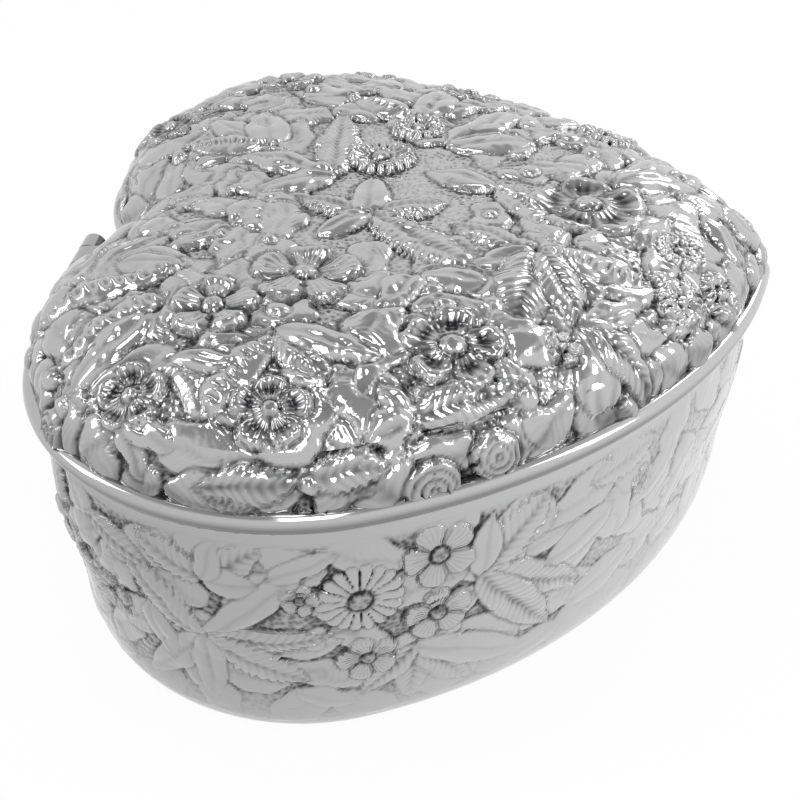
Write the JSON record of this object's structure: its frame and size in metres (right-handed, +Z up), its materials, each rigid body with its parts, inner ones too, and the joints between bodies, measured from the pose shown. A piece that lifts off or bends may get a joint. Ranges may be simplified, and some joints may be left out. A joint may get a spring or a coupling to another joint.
{
  "type": "wind-up music box",
  "caption": "Heart-shaped wind-up music box in floral silver plate: a hinged domed lid over a velvet-lined tray, with a pinned-cylinder movement wound by a key under its floor.",
  "frame": {"origin": "under the middle of the closed box, on the surface that it stands on", "axes": "+Z up, -Y towards the heart's tip, X across the two lobes"},
  "size_m": [0.11, 0.099, 0.0499],
  "materials": {
    "silver": "polished silver plate",
    "velvet": "blue velvet",
    "collar": "matt",
    "zinc": "die-cast zinc alloy",
    "steel": "fine brushed",
    "brass": "turned"
  },
  "bodies": {
    "base": {"base_shell": "silver", "rim_lining": "velvet", "tray_board": "velvet", "tray_collar": "collar", "hinge_base_leaf": "silver", "hinge_pin": "silver", "bedplate": "zinc", "movement_screws": "steel", "spring_housing": "zinc", "housing_cover": "brass", "mainspring": "steel", "comb": "steel", "comb_screws": "steel", "governor_frame": "zinc", "governor_screws": "steel", "stop_guide": "steel"},
    "lid": {"lid_shell": "silver", "lid_relief": "silver", "lid_lining": "velvet", "hinge_lid_leaf": "silver"},
    "cylinder_train": {"cylinder": "brass", "cylinder_arbor": "steel", "cylinder_pinion": "brass", "cylinder_gear": "brass"},
    "winding_train": {"winding_key": "steel", "winding_arbor": "steel", "crown_wheel": "brass", "ratchet_wheel": "steel", "click_pawl": "steel"},
    "governor": {"governor_arbor": "steel", "worm_wheel": "brass"},
    "fly": {"fly_shaft": "steel", "fly_vanes": "brass"},
    "stop": {"stop_wire": "steel"}
  },
  "joints": [
    {"name": "lid_hinge", "type": "hinge", "parent": "base", "child": "lid", "pos_m": [0, 0.04783, 0.0355], "axis": [-1, 0, 0], "range_deg": [0, 95]},
    {"name": "cylinder_turn", "type": "hinge", "parent": "base", "child": "cylinder_train", "pos_m": [0, 0.003, 0.0192], "axis": [1, 0, 0], "continuous": true},
    {"name": "key_turn", "type": "hinge", "parent": "base", "child": "winding_train", "pos_m": [-0.01241, 0.003, 0], "axis": [0, 0, 1], "continuous": true},
    {"name": "governor_turn", "type": "hinge", "parent": "base", "child": "governor", "pos_m": [0, 0.01324, 0.0192], "axis": [1, 0, 0], "continuous": true},
    {"name": "fly_turn", "type": "hinge", "parent": "base", "child": "fly", "pos_m": [0.01779, 0.01774, 0], "axis": [0, 0, 1], "continuous": true},
    {"name": "stop_slide", "type": "slide", "parent": "base", "child": "stop", "axis": [0, 0, 1], "range_m": [0, 0.002]}
  ],
  "couplings": [
    {"joint": "key_turn", "follows": "cylinder_turn", "ratio": -0.25},
    {"joint": "governor_turn", "follows": "cylinder_turn", "ratio": -4},
    {"joint": "fly_turn", "follows": "cylinder_turn", "ratio": 48},
    {"joint": "stop_slide", "follows": "lid_hinge", "m_per_rad": 0.0012}
  ]
}
